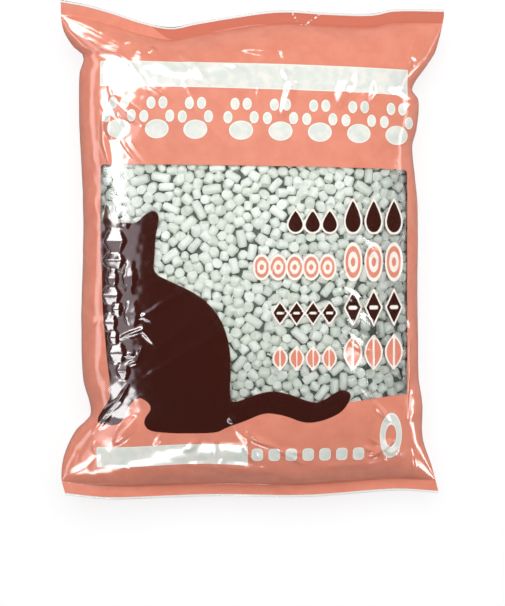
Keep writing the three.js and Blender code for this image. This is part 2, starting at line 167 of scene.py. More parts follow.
def fullness(u, v):
    """1 in the middle of the bag, 0 at the folds and welds."""
    share = np.clip(np.where(v > 0, v / TOP_WELD, v / BOTTOM_WELD), 0, 1)
    power = np.where(v > 0, TOP_FULLNESS, BOTTOM_FULLNESS)
    lengthwise = (1 - share ** power) ** (1 / END_ROUNDNESS)
    return lengthwise * (1 - np.clip(np.abs(u), 0, 1) ** SECTION_POWER) ** (1 / SECTION_POWER)


def fold_level(u, v):
    """The height of the surface that the folds and welds lie in."""
    end = smoothstep(np.abs(v), 0.6, 1)
    corner = smoothstep(np.abs(u), 0.45, 1) * smoothstep(np.abs(v), 0.74, 1)
    top = np.where(u < 0, CORNER_LIFT["top left"], CORNER_LIFT["top right"])
    bottom = np.where(u < 0, CORNER_LIFT["bottom left"], CORNER_LIFT["bottom right"])
    wave = END_WAVE * np.sin(END_WAVES * u) * end
    return FOLD_HEIGHT + corner * np.where(v > 0, top, bottom) + wave


def skin(a, v, side):
    """Points of the bag's skin in mm, on the front (side 1), the back (-1) or between (0)."""
    u = np.sin(a * math.pi / 2)
    left, right = sides(v)
    x = left + (right - left) * (u + 1) / 2
    y = v * HALF_LENGTH + end_dip(u, v)
    level, full = fold_level(u, v), fullness(u, v)
    if side == 0:
        z = level
    elif side > 0:
        z = level + FILM_WALL + (BODY_THICKNESS - FOLD_HEIGHT) * full
    else:
        z = (level - FILM_WALL) * np.clip(1 - full * UNDER_FLAT, 0, 1) ** SETTLE
    return np.stack(np.broadcast_arrays(x, y, z), axis=-1)


def outward(a, v, side):
    """Unit normals of the skin."""
    step = 1e-3
    low, high = np.clip(a - step, -1, 1), np.clip(a + step, -1, 1)
    across = skin(high, v, side) - skin(low, v, side)
    length = skin(a, v + step, side) - skin(a, v - step, side)
    normal = np.cross(across, length)
    return side * normal / np.linalg.norm(normal, axis=-1, keepdims=True)


def on_skin(x, y):
    """The place on the skin of a point seen from above."""
    v, u = y / HALF_LENGTH, x / HALF_WIDTH
    for _ in range(5):
        left, right = sides(v)
        u = np.clip((x - left) / (right - left) * 2 - 1, -1, 1)
        v = (y - end_dip(u, v)) / HALF_LENGTH
    return np.arcsin(u) * 2 / math.pi, v


crown = skin(np.array(0.0), np.array(0.0), 1)
print("crown of the bag at", crown.round(1), "mm")

# %% [markdown]
# ## Packing the pellets
# The litter is short sticks of pressed paper, broken to about their own width. Loose pellets settle
# without any pattern, so each layer starts as random dots that push each other apart, a cheap stand-in
# for a rigid body simulation. The top layer is made for the whole front, because it also presses
# its bumps into the film.

# %% Settle the layers of pellets
PELLET_PITCH = 9.8
PELLET_PLAY = 0.3
rng = np.random.default_rng(11)


def settle(half_x, low_y, high_y, pitch, rounds=90):
    """Dots that have pushed each other apart to about the given pitch."""
    count = int(2 * half_x * (high_y - low_y) / (pitch ** 2 * 0.84))
    dots = np.stack([rng.uniform(-half_x, half_x, count), rng.uniform(low_y, high_y, count)], 1)
    reach = pitch * rng.uniform(0.88, 1.12, count)
    wanted = (reach[:, None] + reach[None, :]) / 2
    for _ in range(rounds):
        away = dots[:, None, :] - dots[None, :, :]
        distance = np.sqrt((away ** 2).sum(-1)) + np.eye(count) * 1e6
        push = np.clip(wanted - distance, 0, None) / distance
        dots = dots + 0.45 * (away * push[:, :, None]).sum(1)
        dots = np.clip(dots, [-half_x, low_y], [half_x, high_y])
    return dots, reach


def draw_together(dots, reach, share):
    """Turns some neighbouring pairs of dots into one long pellet, and gives each pellet's run."""
    runs = np.zeros((len(dots), 2))
    gone = np.zeros(len(dots), bool)
    for k in rng.permutation(len(dots))[:int(share * len(dots))]:
        apart = np.linalg.norm(dots - dots[k], axis=1) + 1e6 * gone
        apart[k] = 1e6
        other = int(apart.argmin())
        if gone[k] or runs[k].any() or runs[other].any():
            continue
        runs[k] = dots[other] - dots[k]
        dots[k] = (dots[other] + dots[k]) / 2
        reach[k] = (reach[k] + reach[other]) / 2
        gone[other] = True
    return dots[~gone], reach[~gone], runs[~gone]


LONG_SHARE = 0.11
top_dots, top_reach, top_runs = draw_together(*settle(150, -176, 176, PELLET_PITCH), LONG_SHARE)
print("pellets in the top layer:", len(top_dots))

# %% [markdown]
# ## The print
# The print is flat fields of ink on the inside of the film. Each field is kept as the distance to its
# edge, in millimetres, at every point of the mesh. A shader that cuts that distance at zero draws
# an edge far sharper than the mesh, and it stays on the film wherever the film bends.

# %% Fields of ink
WINDOW = (-134.5, 137.5, -134.5, 73.5)
CAT = [(5, 174), (12.5, 153.5), (20, 155.5), (32, 154), (40, 162.5), (48, 166), (52, 162),
       (52, 155), (49, 142), (48.5, 125), (47, 111), (61, 104), (79, 96), (91, 88.5), (102, 77.5),
       (109, 65), (113.5, 50), (115.5, 30), (114, 4), (116.5, -3.5), (136, 4.5), (148, 7.5),
       (158, 7), (169, 4), (185, -2.5), (194, -2.5), (207, 6.5), (213, 8.5), (219, 6.5), (221, 2),
       (214, -10.5), (203, -16.5), (192, -20), (183, -21), (175, -19.5), (166, -15.5),
       (154, -12.5), (143, -12), (128, -19), (111, -25), (103, -30), (79, -30.5), (61, -30.5),
       (43, -29), (38, -23), (39, -17), (45, -9.5), (43, -3.5), (33, 2.5), (21, -11.5),
       (20, -18.5), (14, -25), (-3, -24), (-5, -20), (1, -10), (10, 3), (6, 26), (3, 62), (1, 86),
       (1, 111), (0, 131), (0, 149), (3, 165)]
CAT = np.array(CAT) + (-134, -131)


def rounded(points, rounds=2):
    """The same closed outline with its corners cut soft."""
    for _ in range(rounds):
        following = np.roll(points, -1, axis=0)
        points = np.stack([points * 0.75 + following * 0.25,
                           points * 0.25 + following * 0.75], 1).reshape(-1, 2)
    return points


def depth_in_outline(x, y, points):
    """Distance to a closed outline, positive inside it."""
    nearest = np.full(x.shape, 1e9)
    inside = np.zeros(x.shape, bool)
    for (x0, y0), (x1, y1) in zip(points, np.roll(points, -1, axis=0)):
        dx, dy = x1 - x0, y1 - y0
        t = np.clip(((x - x0) * dx + (y - y0) * dy) / (dx * dx + dy * dy), 0, 1)
        nearest = np.minimum(nearest, (x - x0 - t * dx) ** 2 + (y - y0 - t * dy) ** 2)
        if dy:
            inside ^= ((y0 > y) != (y1 > y)) & (x < x0 + dx * (y - y0) / dy)
    return np.where(inside, 1, -1) * np.sqrt(nearest)


def depth_in_bar(x, y, low_x, high_x, low_y, high_y, corner=0.0, slope=0.0):
    """Distance to the edge of a bar with round corners, positive inside it."""
    mid_x, mid_y = (low_x + high_x) / 2, (low_y + high_y) / 2
    px = np.abs(x - mid_x) - (high_x - low_x) / 2 + corner
    py = np.abs(y - mid_y - slope * (x - mid_x)) - (high_y - low_y) / 2 + corner
    outside = np.hypot(np.clip(px, 0, None), np.clip(py, 0, None))
    return corner - outside - np.clip(np.maximum(px, py), None, 0)


def depth_in_ring(x, y, mid_x, mid_y, reach_x, reach_y, width):
    """Distance to the edge of an oval ring, positive on it."""
    near = (np.hypot((x - mid_x) / reach_x, (y - mid_y) / reach_y) - 1) * min(reach_x, reach_y)
    return width / 2 - np.abs(near)


# %% [markdown]
# ## Creases
# Film can't stretch, so where it has too much room it stands up in straight ridges between flat
# facets. A crease here is a roof whose two slopes always lean the same amount and whose width tapers
# to nothing at its ends, because that leaning face is what catches the lamp as a white blade. The big
# creases are listed one by one, and the sharp ones, most of them on the right, lean more than the rest,
# so that they catch the lamps on that side. Down the left shoulder the film has buckled into a chain
# of small roofs, and all of it gets flat triangles of uneven height.

# %% Creases, listed one by one
CREASES = [
    (3.2, [(-147, 190), (-132, 180), (-120, 177), (-109, 166), (-92, 143)]),
    (2.4, [(-92, 143), (-76, 132), (-66, 124)]), (2.6, [(-87, 197), (-61, 176)]),
    (5.5, [(-67, 176), (-55, 166), (-43, 152), (-33, 141)]),
    (2.6, [(-62, 152), (-49, 127), (-41, 112), (-20, 86)]), (4.0, [(-22, 165), (-10, 159), (0, 149)]),
    (4.5, [(-114, 191), (-106, 181)]), (4.5, [(-92, 180), (-85, 173)]),
    (8.0, [(-126, 136), (-110, 122), (-92, 108)]), (9.0, [(-126, 118), (-124, 98)]),
    (2.6, [(-128, 146), (-114, 107)]), (2.4, [(-117, 98), (-98, 74)]),
    (2.4, [(-110, 98), (-92, 76)]), (4.0, [(-133, 118), (-131, 96), (-126, 74)]),
    (3.0, [(25, 178), (30, 166)]), (6.5, [(26, 160), (35, 146), (31, 131), (25, 115)]),
    (2.4, [(6, 147), (5, 123)]), (9.0, [(90, 158), (82, 144), (75, 124)]),
    (2.4, [(76, 127), (90, 134), (103, 147)]), (8.0, [(106, 150), (100, 136), (94, 120)]),
    (2.4, [(98, 126), (122, 143)]), (4.0, [(138, 172), (146, 166)]), (2.6, [(141, 175), (150, 201)]),
    (3.0, [(-109, -118), (-118, -133), (-129, -145), (-143, -165)]),
    (7.5, [(-100, -146), (-123, -173)]), (4.0, [(-141, -170), (-139, -182)]),
    (2.6, [(-87, -172), (-78, -160)]), (4.4, [(-59, -178), (-48, -166)]),
    (2.4, [(-32, -166), (-35, -195), (-25, -184)]), (4.5, [(-21, -147), (-15, -149)]),
    (2.6, [(-17, -150), (-6, -168)]), (3.4, [(-8, -171), (2, -187)]),
    (3.6, [(20, -173), (46, -190)]),
    (3.0, [(14, -214), (21, -200)]),
    (2.6, [(137, -74), (138, -112), (136, -152)]), (2.6, [(141, -176), (147, -205)]),
    (3.4, [(-113, -62), (-95, -58), (-84, -64)]), (3.6, [(-118, -78), (-96, -70), (-84, -84)]),
    (2.8, [(-120, -92), (-98, -92)]), (3.2, [(-117, -104), (-102, -98), (-96, -84)]),
]
CREASE_LEAN = 0.5
SHARP_CREASES = [
    (5.0, [(92, 12), (104, 0), (114, -13)]), (3.0, [(72, -22), (86, -14)]),
    (6.0, [(74, -31), (87, -41), (98, -49)]), (8.0, [(79, -56), (95, -62), (112, -75)]),
    (5.0, [(78, -70), (104, -92)]), (5.0, [(104, -86), (103, -100), (96, -108), (97, -120), (106, -133)]),
    (4.0, [(106, -133), (122, -153)]), (3.0, [(-7, -153), (3, -166), (24, -175)]),
    (2.8, [(-6, -176), (-2, -152)]), (2.6, [(24, -175), (44, -180)]),
    (3.0, [(104, -166), (128, -184)]), (5.0, [(104, -184), (126, -168)]), (3.0, [(112, -162), (118, -190)]),
    (2.8, [(98, -174), (112, -180)]), (2.8, [(120, -182), (130, -176)]),
]
SHARP_LEAN = 0.72
SOFT_FOLDS = [
    (5.0, [(-98, -60), (-60, -36), (-40, -30)]), (4.0, [(-88, -90), (-48, -58)]),
    (5.0, [(-84, -106), (-30, -72)]), (4.0, [(-96, -112), (-58, -92)]),
    (7.0, [(-60, -190), (20, -196)]),
    (6.0, [(60, -192), (128, -188)]), (5.0, [(-10, 178), (60, 172)]), (5.0, [(84, 178), (132, 170)]),
]
SOFT_LEAN = 0.15


def crease_height(x, y, creases, lean):
    """How far the placed creases lift the film."""
    height = np.zeros(x.shape)
    for half_width, points in creases:
        lengths = [math.dist(p, q) for p, q in zip(points, points[1:])]
        passed = 0.0
        for (x0, y0), (x1, y1), length in zip(points, points[1:], lengths):
            near = ((np.abs(x - (x0 + x1) / 2) < length / 2 + half_width)
                    & (np.abs(y - (y0 + y1) / 2) < length / 2 + half_width))
            nx, ny = x[near], y[near]
            t = ((nx - x0) * (x1 - x0) + (ny - y0) * (y1 - y0)) / length ** 2
            t = np.clip(t, 0, 1)
            apart = np.hypot(nx - x0 - t * (x1 - x0), ny - y0 - t * (y1 - y0))
            share = (passed + t * length) / sum(lengths)
            width = half_width * np.sqrt(np.clip(4 * share * (1 - share), 0, 1))
            height[near] = np.maximum(height[near], lean * np.clip(width - apart, 0, None))
            passed += length
    return height


# %% The buckled chain down the left shoulder
BUCKLES = [(-120.6, 7.9, 9.5, 11), (-121.7, -9.2, 9.5, 8), (-123, -25, 5, 10), (-124, -40, 8.5, 9),
           (-119, -52, 4.5, 7), (-125, -64, 6, 9), (-122, -77, 4.5, 8), (-119, -91, 8, 10),
           (-114, -106, 6, 9), (-108, -24, 6, 15), (-106, -56, 7, 12), (-112, 27, 5, 9)]
BUCKLE_RISE = 2.1
BUCKLE_FLANK, BUCKLE_POINT = 9.0, 5.0
SHOULDER_CURVE = 0.004


def buckle_height(x, y):
    """Small six-sided roofs with their ridges across the shoulder, flat where the shoulder is round."""
    height = np.zeros(x.shape)
    for mid_x, mid_y, half_width, half_length in BUCKLES:
        down = np.clip(1 - np.abs(y - mid_y) / half_length, 0, 1)
        aside = BUCKLE_FLANK * (1 - np.abs(x - mid_x) / half_width) - BUCKLE_POINT * (1 - down)
        roof = BUCKLE_RISE * np.clip(np.minimum(down, aside), 0, 1)
        flatter = SHOULDER_CURVE * (x - mid_x) ** 2 * np.clip(3 * roof, 0, 1)
        height = np.maximum(height, roof + flatter)
    return height


# %% Uneven flat triangles


def facet_height(x, y, pitch, seed):
    """Heights from 0 to 1 of flat triangles between uneven scattered points."""
    chance = np.random.default_rng(seed)
    low = np.array([x.min(), y.min()]) - 2 * pitch
    high = np.array([x.max(), y.max()]) + 2 * pitch
    columns, rows = ((high - low) / pitch).astype(int) + 1
    grid = np.stack(np.meshgrid(np.arange(columns), np.arange(rows), indexing="ij"), -1)
    spots = low + (grid.reshape(-1, 2) + chance.uniform(-0.42, 0.42, (columns * rows, 2))) * pitch
    rise = chance.uniform(0, 1, len(spots))
    joined = delaunay_2d_cdt([Vector(p) for p in spots], [], [], 0, 1e-4)
    order = [source[0] for source in joined[3]]
    height = np.zeros(x.shape)
    for corners in joined[2]:
        p, q, r = (spots[order[c]] for c in corners)
        near = ((x >= min(p[0], q[0], r[0])) & (x <= max(p[0], q[0], r[0]))
                & (y >= min(p[1], q[1], r[1])) & (y <= max(p[1], q[1], r[1])))
        if not near.any():
            continue
        wide = (q[0] - p[0]) * (r[1] - p[1]) - (r[0] - p[0]) * (q[1] - p[1])
        nx, ny = x[near], y[near]
        s = ((nx - p[0]) * (r[1] - p[1]) - (r[0] - p[0]) * (ny - p[1])) / wide
        t = ((q[0] - p[0]) * (ny - p[1]) - (nx - p[0]) * (q[1] - p[1])) / wide
        here = (s >= -1e-6) & (t >= -1e-6) & (s + t <= 1 + 1e-6)
        hp, hq, hr = (rise[order[c]] for c in corners)
        values = height[near]
        values[here] = (hp + (hq - hp) * s + (hr - hp) * t)[here]
        height[near] = values
    return height


# %% [markdown]
# ## The film as a mesh
# The front is a fine grid and the back a coarser one, with every fourth point of the front's rim, so
# the bag is one closed skin. The facets are strong along the folds and the corners, where the
# film is loose, and weak over the crown, where the litter holds it tight.

# %% Raise the film
COLUMNS, ROWS, BACK_SHARE = 252, 340, 4
A, V = np.meshgrid(np.linspace(-1, 1, COLUMNS + 1), np.linspace(-1, 1, ROWS + 1), indexing="ij")
U = np.sin(A * math.pi / 2)
# Facets by pitch, rise where the film is tight, more rise where it is loose, and seed.
FACETS = [(24, 0.25, 1.5, 3), (11, 0.08, 0.8, 5)]
PRESSED_RISE = 0.1


def looseness(u, v):
    """How slack the film is: 0 over the litter's crown, 1 at the folds and the ends."""
    side = smoothstep(np.abs(u), 0.7, 0.98)
    end = smoothstep(np.abs(v), 0.62, 0.93)
    return np.clip(np.maximum(side, end), 0, 1)


def pressed(x, y):
    """The bumps that the top layer of pellets presses into the film."""
    bump = np.zeros(x.shape)
    for (px, py), reach in zip(top_dots, top_reach):
        near = (np.abs(x - px) < reach) & (np.abs(y - py) < reach)
        apart = np.hypot(x[near] - px, y[near] - py) / (reach * 0.5)
        bump[near] = np.maximum(bump[near], np.clip(1 - apart ** 2, 0, None))
    return bump


front = skin(A, V, 1)
x, y = front[..., 0], front[..., 1]
loose = looseness(U, V)
fade = np.clip(fullness(U, V) * 2.5, 0.12, 1) * smoothstep(1 - np.abs(A), 0, 0.03)
lift = np.maximum(crease_height(x, y, CREASES, CREASE_LEAN), buckle_height(x, y))
lift = np.maximum(lift, crease_height(x, y, SHARP_CREASES, SHARP_LEAN))
lift += crease_height(x, y, SOFT_FOLDS, SOFT_LEAN)
for pitch, tight_rise, loose_rise, seed in FACETS:
    lift += (tight_rise + loose_rise * loose) * facet_height(x, y, pitch, seed)
lift += PRESSED_RISE * pressed(x, y) * (1 - loose)
film_front = front + outward(A, np.clip(V, -0.998, 0.998), 1) * (lift * fade)[..., None]
back_a, back_v = A[::BACK_SHARE, ::BACK_SHARE], V[::BACK_SHARE, ::BACK_SHARE]
film_back = skin(back_a, back_v, -1)
print("film rises up to", round(float((lift * fade).max()), 2), "mm over the smooth shape")

# %% Join the front and the back into one mesh


def grid_faces(index, flip):
    """Quads over a grid of vertex numbers."""
    quads = np.stack([index[:-1, :-1], index[1:, :-1], index[1:, 1:], index[:-1, 1:]], -1)
    quads = quads.reshape(-1, 4)
    return (quads[:, ::-1] if flip else quads).tolist()


def rim_of(index):
    """The rim of a grid of vertex numbers, once round."""
    return np.concatenate([index[:-1, 0], index[-1, :-1], index[:0:-1, -1], index[0, :0:-1]])


def mesh_piece(name, vertices, faces, material):
    """A smooth mesh object at the origin, from points in mm."""
    mesh = bpy.data.meshes.new(name)
    mesh.from_pydata((vertices * MM).tolist(), [], faces)
    mesh.shade_smooth()
    mesh.materials.append(material)
    piece = bpy.data.objects.new(name, mesh)
    bpy.context.scene.collection.objects.link(piece)
    return piece


front_count = A.size
front_index = np.arange(front_count).reshape(A.shape)
back_index = np.arange(back_a.size).reshape(back_a.shape) + front_count
front_rim, back_rim = rim_of(front_index), rim_of(back_index)
rim_faces = []
for k, corner in enumerate(back_rim):
    upper = [front_rim[(k * BACK_SHARE + j) % len(front_rim)] for j in range(BACK_SHARE, -1, -1)]
    rim_faces.append([int(n) for n in [corner, back_rim[(k + 1) % len(back_rim)], *upper]])
film_faces = grid_faces(front_index, False) + grid_faces(back_index, True) + rim_faces
film_points = np.concatenate([film_front.reshape(-1, 3), film_back.reshape(-1, 3)])
film_a = np.concatenate([A.ravel(), back_a.ravel()])
film_v = np.concatenate([V.ravel(), back_v.ravel()])

# %% [markdown]
# ## Printed film
# The real film is polypropylene, about a tenth of a millimetre thick, with flexographic ink on its
# inner side. Bare film lets the light straight through and only glints, so it is a mix of Transparent
# and Glossy by Fresnel. Under ink it is a glossy plastic with the ink's colour.

# %% Material of the film
# The darker coral is painted shade: patches where pellets press the film, and the top weld.
CORAL, CORAL_SHADED = linear("#E28E77"), linear("#C96F59")
PALE_INK, WHITE_INK = linear("#D6DBD4"), linear("#F1EBE2")
BROWN = linear("#39120A")
RIM_WIDTH = 0.9
INK_EDGE = 0.18

film_material, tree, output = new_material("printed_polypropylene_film")


def ink_mask(name):
    """1 where the distance attribute is positive, with an edge as soft as printed ink."""
    depth = add_node(tree, "ShaderNodeAttribute", {"attribute_name": name})
    return add_node(tree, "ShaderNodeMapRange", {}, {
        "Value": depth.outputs["Fac"], "From Min": -INK_EDGE, "From Max": INK_EDGE}).outputs["Result"]


def over(below, colour, mask):
    """One colour laid over another by a mask."""
    mix = add_node(tree, "ShaderNodeMix", {"data_type": "RGBA"}, {"Factor": mask})
    for socket, value in ((mix.inputs[6], below), (mix.inputs[7], colour)):
        if isinstance(value, bpy.types.NodeSocket):
            tree.links.new(value, socket)
        else:
            socket.default_value = value
    return mix.outputs[2]


masks = {name: ink_mask(name) for name in ("coral", "pale", "halo", "brown", "weld")}
place = add_node(tree, "ShaderNodeTexCoord")
# Painted shade: soft darker patches on the coral where pellets press the film from behind.
pressed_shade_noise = add_node(tree, "ShaderNodeTexNoise", {}, {
    "Vector": place.outputs["Object"], "Scale": 70.0, "Detail": 3.0})
pressed_shade = add_node(tree, "ShaderNodeMapRange", {}, {
    "Value": pressed_shade_noise.outputs["Fac"], "From Min": 0.35, "From Max": 0.7, "To Max": 0.35})
coral = over(CORAL, CORAL_SHADED, pressed_shade.outputs["Result"])
# Painted shade: the top weld, tilted away from the light, is painted a darker coral, and the double film
# there deepens its colour too. The darkening fades out towards the left end.
coral = over(coral, CORAL_SHADED, masks["weld"])
pale_depth = add_node(tree, "ShaderNodeAttribute", {"attribute_name": "pale"})
inner_pale = add_node(tree, "ShaderNodeMapRange", {}, {
    "Value": pale_depth.outputs["Fac"], "From Min": RIM_WIDTH - 0.3, "From Max": RIM_WIDTH + 0.3})
cloudy = add_node(tree, "ShaderNodeTexNoise", {}, {
    "Vector": place.outputs["Object"], "Scale": 120.0, "Detail": 2.0})
cloudy_range = add_node(tree, "ShaderNodeMapRange", {}, {
    "Value": cloudy.outputs["Fac"], "From Min": 0.4, "From Max": 0.65, "To Max": 0.6})
pale_ink = over(PALE_INK, WHITE_INK, cloudy_range.outputs["Result"])
ink = over(coral, WHITE_INK, masks["halo"])
ink = over(ink, WHITE_INK, masks["pale"])
ink = over(ink, pale_ink, inner_pale.outputs["Result"])
ink = over(ink, coral, masks["coral"])
ink = over(ink, BROWN, masks["brown"])


def larger(one, other):
    """The larger of two values, by a node."""
    return add_node(tree, "ShaderNodeMath", {"operation": "MAXIMUM"},
                    {0: one, 1: other}).outputs["Value"]


covered = masks["coral"]
for name in ("pale", "halo", "brown"):
    covered = larger(covered, masks[name])
covered = add_node(tree, "ShaderNodeMath", {"operation": "MULTIPLY"},
                   {0: covered, 1: 0.97}).outputs["Value"]
inked = add_node(tree, "ShaderNodeBsdfPrincipled", {}, {
    "Base Color": ink, "Roughness": 0.12, "IOR": 1.58})
clear = add_node(tree, "ShaderNodeBsdfTransparent", {}, {"Color": (0.99, 1.0, 0.99, 1)})
glint = add_node(tree, "ShaderNodeBsdfGlossy", {}, {"Roughness": 0.16})
fresnel = add_node(tree, "ShaderNodeFresnel", {}, {"IOR": 1.58})
bare = add_node(tree, "ShaderNodeMixShader", {}, {
    0: fresnel.outputs["Fac"], 1: clear.outputs["BSDF"], 2: glint.outputs["BSDF"]})
surface = add_node(tree, "ShaderNodeMixShader", {}, {
    0: covered, 1: bare.outputs["Shader"], 2: inked.outputs["BSDF"]})
tree.links.new(surface.outputs["Shader"], output.inputs["Surface"])

film = mesh_piece("printed_film", film_points, film_faces, film_material)

# %% [markdown]
# ## Laying out the print
# The layout follows the pack: a coral panel with a pale band and a row of pale shapes, the clear window
# with the sitting cat and four rows of small marks on the right, and a coral panel below. The marks
# are plain ones: paws, drops, rings, diamonds and leaves. A V of pale dots on the top weld stands for
# its pinholes, which are drawn and not cut.

# %% Distances to the edges of each ink
px, py = film_points[:, 0], film_points[:, 1]
is_front = np.arange(len(px)) < front_count
edge_end = (1 - np.abs(film_v)) * HALF_LENGTH
END_MARGIN, HALO_WIDTH, WELD_FADE = 2.0, 1.7, 14
NOWHERE = -50
WINDOW_DRIFT = 8.0


def paw(x, y, mid_x, mid_y, size):
    """A paw mark: one broad pad and four toes."""
    pad = (1 - np.hypot((x - mid_x) / 0.52, (y - mid_y + 0.44 * size) / 0.42) / size) * 0.42 * size
    toes = [(-0.56, 0.12), (-0.26, 0.7), (0.26, 0.7), (0.56, 0.12)]
    marks = [0.2 * size - np.hypot(x - mid_x - tx * size, (y - mid_y - ty * size) * 0.72)
             for tx, ty in toes]
    return np.max([pad, *marks], axis=0)


def drop(x, y, half_x, half_y):
    """A drop, round below and pointed above."""
    up = np.clip((y / half_y + 0.3) / 1.3, 0, 1)
    below = np.clip(-0.3 * half_y - y, 0, None) * half_x / (0.7 * half_y)
    return np.minimum(half_x * (1 - up ** 1.5) - np.hypot(x, below), half_y - np.abs(y))


def oval_ring(x, y, half_x, half_y):
    """An oval ring with a dot in it."""
    share = np.hypot(x / half_x, y / half_y)
    return np.maximum(0.17 - np.abs(share - 0.83), 0.3 - share) * min(half_x, half_y)


def diamond(x, y, half_x, half_y):
    """A diamond with a slot in it."""
    share = np.abs(x) / half_x + np.abs(y) / half_y
    return np.minimum(1 - share, np.maximum(np.abs(y) / half_y - 0.12, share - 0.62)) * half_x


def leaf(x, y, half_x, half_y):
    """A leaf with a split along its middle."""
    side = half_x * (1 - np.clip(np.abs(y) / half_y, 0, 1) ** 2) - np.abs(x)
    return np.minimum.reduce([side, np.abs(x) - 0.14 * half_x, half_y - np.abs(y)])


MARK_ROWS = [
    ("dark", drop, (37.5, 15.0, 3, 25.0), 6.2, 9.4),
    ("coral", oval_ring, (8.0, 14.4, 5, -15.0), 6.2, 9.2),
    ("dark", diamond, (24.0, 14.4, 4, -55.0), 6.2, 9.0),
    ("coral", leaf, (24.0, 14.4, 4, -94.5), 5.0, 9.2),
]
LARGE_PLACES, LARGE_RISE = (88.0, 106.5, 125.0), 4.5
LARGE_HALF_X, LARGE_HALF_Y = 6.7, 14.0
marks = {"dark": [], "coral": []}
for ink_name, shape, (first, pitch, number, height), half_x, half_y in MARK_ROWS:
    for k in range(number):
        marks[ink_name].append(shape(px - first - pitch * k, py - height, half_x, half_y))
    for place in LARGE_PLACES:
        marks[ink_name].append(shape(px - place, py - height - LARGE_RISE, LARGE_HALF_X, LARGE_HALF_Y))
dark_marks = np.max(marks["dark"], axis=0)
coral_marks = np.max(marks["coral"], axis=0)

PAW_PLACES = [-118, -84, -50, -10, 24.5, 59, 93.5, 128]
PAW_SIZE, PAW_TILT = 20.5, -0.022
paws = np.max([paw(px, py, place, 113.5 + PAW_TILT * place, PAW_SIZE) for place in PAW_PLACES], axis=0)
band = depth_in_bar(px, py, -136, 139, 141.5, 165, 0, -0.030)
foot_band = depth_in_bar(px, py + 2 * np.sin(px / 28), -139, -4, -192, -173, 0)
foot_marks = np.max([depth_in_bar(px, py, -1 + 15 * k, 9.5 + 15 * k, -187, -175, 3.5)
                     for k in range(7)], axis=0)
foot_ring = depth_in_ring(px, py, 123, -165, 7.5, 15.5, 5.5)
cat = depth_in_outline(px, py, rounded(CAT))
drift = WINDOW_DRIFT * smoothstep(-py, 0, 90) * smoothstep(-px, 60, 125)
bow = np.where(py > 0, -0.016 * px, 6 * smoothstep(px, 70, 135) + 4 * smoothstep(-px, 20, 60))
window = depth_in_bar(px - drift, py - bow, *WINDOW, 3.0)
# Each arm of the V runs between two places, given across the bag and down from the cut end.
PINHOLE_ARMS = [((36.6, 3.4), (43.4, 13.2), 4), ((60.2, 2.6), (47.6, 12.8), 5)]
PINHOLE_RADIUS = 1.2
from_top = np.where(film_v > 0, edge_end, -NOWHERE)
pinholes = np.max([PINHOLE_RADIUS - np.hypot(px - across, from_top - down)
                   for start, end, number in PINHOLE_ARMS
                   for across, down in np.linspace(start, end, number)], axis=0)
pale = np.max([band, paws, foot_band, foot_marks, foot_ring, pinholes], axis=0)
panel = np.minimum(-window, edge_end - END_MARGIN)
fields = {
    "coral": np.where(is_front, np.maximum(np.minimum(panel, -pale), coral_marks),
                      edge_end - END_MARGIN),
    "pale": np.where(is_front, pale, NOWHERE),
    "halo": np.where(is_front, np.maximum(dark_marks, coral_marks) + HALO_WIDTH, NOWHERE),
    "brown": np.where(is_front, np.maximum(cat, dark_marks), NOWHERE),
    # The top weld's painted shade, fading out towards the left end.
    "weld": (np.where(film_v > 0, TOP_SEAL, NOWHERE) - edge_end
             - WELD_FADE * (1 - smoothstep(px, -100, -70))),
}
for name, values in fields.items():
    attribute = film.data.attributes.new(name, "FLOAT", "POINT")
    attribute.data.foreach_set("value", values.astype(np.float32))
print("film faces:", len(film.data.polygons))

# %% [markdown]
# ## The pellets
# One short barrel is made in Geometry Nodes and put on every point of a cloud that holds the place,
# direction, length and tone of each pellet. The barrel has few faces, because it is repeated more
# than a thousand times. Only what the clear window shows is made: a second layer lies under the top
# one, and a plain heap under that.

# %% Place the pellets under the film
WINDOW_MARGIN, CAT_MARGIN = 15.0, 6.0
BELOW = {"top": 0.4, "second": 7.0}


def shown(dots):
    """The dots that lie under the window, and not deep under the cat."""
    in_window = depth_in_bar(dots[:, 0], dots[:, 1], *WINDOW) > -WINDOW_MARGIN
    under_cat = depth_in_outline(dots[:, 0], dots[:, 1], CAT) > CAT_MARGIN
    return in_window & ~under_cat


def lay(dots, reach, runs, below):
    """Pellets of one layer: places, directions, sizes and tones. Long ones lie flat in the layer."""
    number = len(dots)
    a, v = on_skin(dots[:, 0], dots[:, 1])
    normal = outward(a, v, 1)
    direction = rng.normal(size=(number, 3))
    length = reach * rng.uniform(0.82, 1.05, number) - PELLET_PLAY
    width = reach - PELLET_PLAY
    long = runs.any(axis=1)
    flat = np.column_stack([runs, np.zeros(number)])
    flat -= normal * (flat * normal).sum(1, keepdims=True)
    direction[long] = flat[long]
    length[long] += 0.75 * np.linalg.norm(runs[long], axis=1)
    width[long] *= 0.92
    direction /= np.linalg.norm(direction, axis=1, keepdims=True)
    lean = np.abs((direction * normal).sum(1))
    extent = lean * length / 2 + np.sqrt(1 - lean ** 2) * width / 2
    centre = skin(a, v, 1) - normal * (extent + below + rng.uniform(0, 0.9, number))[:, None]
    return centre, direction, length, width, rng.uniform(0, 1, number)


layers = []
for name, below in BELOW.items():
    layer = (top_dots, top_reach, top_runs)
    if name == "second":
        layer = draw_together(*settle(150, -146, 88, PELLET_PITCH), LONG_SHARE)
    keep = shown(layer[0])
    layers.append(lay(*(values[keep] for values in layer), below))
centre, direction, length, width, tone = (np.concatenate(parts) for parts in zip(*layers))
oval = rng.uniform(0.86, 1.0, len(centre))
print("pellets made:", len(centre))

# %% One barrel, repeated by Geometry Nodes


def turn_to(directions):
    """Euler angles that turn the Z axis to each direction."""
    return np.array([Vector(d).to_track_quat("Z", "X").to_euler()[:] for d in directions])


